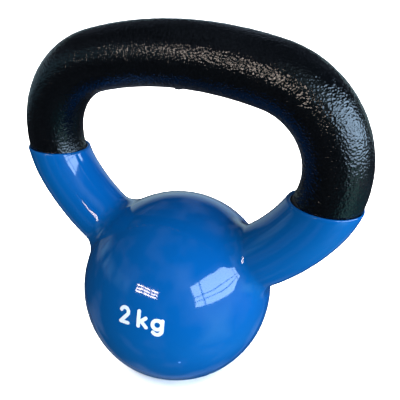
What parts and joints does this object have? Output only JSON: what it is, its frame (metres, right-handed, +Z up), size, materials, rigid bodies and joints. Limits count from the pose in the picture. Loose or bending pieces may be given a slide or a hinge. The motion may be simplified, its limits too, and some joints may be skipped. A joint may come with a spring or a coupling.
{
  "type": "kettlebell",
  "caption": "Small kettlebell: round iron ball with a flat foot and a wide looped handle, dipped in glossy vinyl up to the horns, with a black textured grip.",
  "frame": {"origin": "middle of the flat foot, on the surface that the bell stands on", "axes": "+Z up through the ball and the middle of the handle; X along the grip; the printed front faces -Y"},
  "size_m": [0.1303, 0.0746, 0.1312],
  "materials": {
    "cast_iron": "as-cast grey iron, hidden under the enamel and the vinyl",
    "black_enamel": "glossy black enamel with a fine hammered texture",
    "blue_vinyl": "smooth glossy blue dipped vinyl",
    "white_ink": "white printed ink, satin"
  },
  "bodies": {
    "root": {"cast_iron_body": "cast_iron", "handle_enamel": "black_enamel", "vinyl_jacket": "blue_vinyl", "weight_mark": "white_ink"}
  },
  "joints": []
}
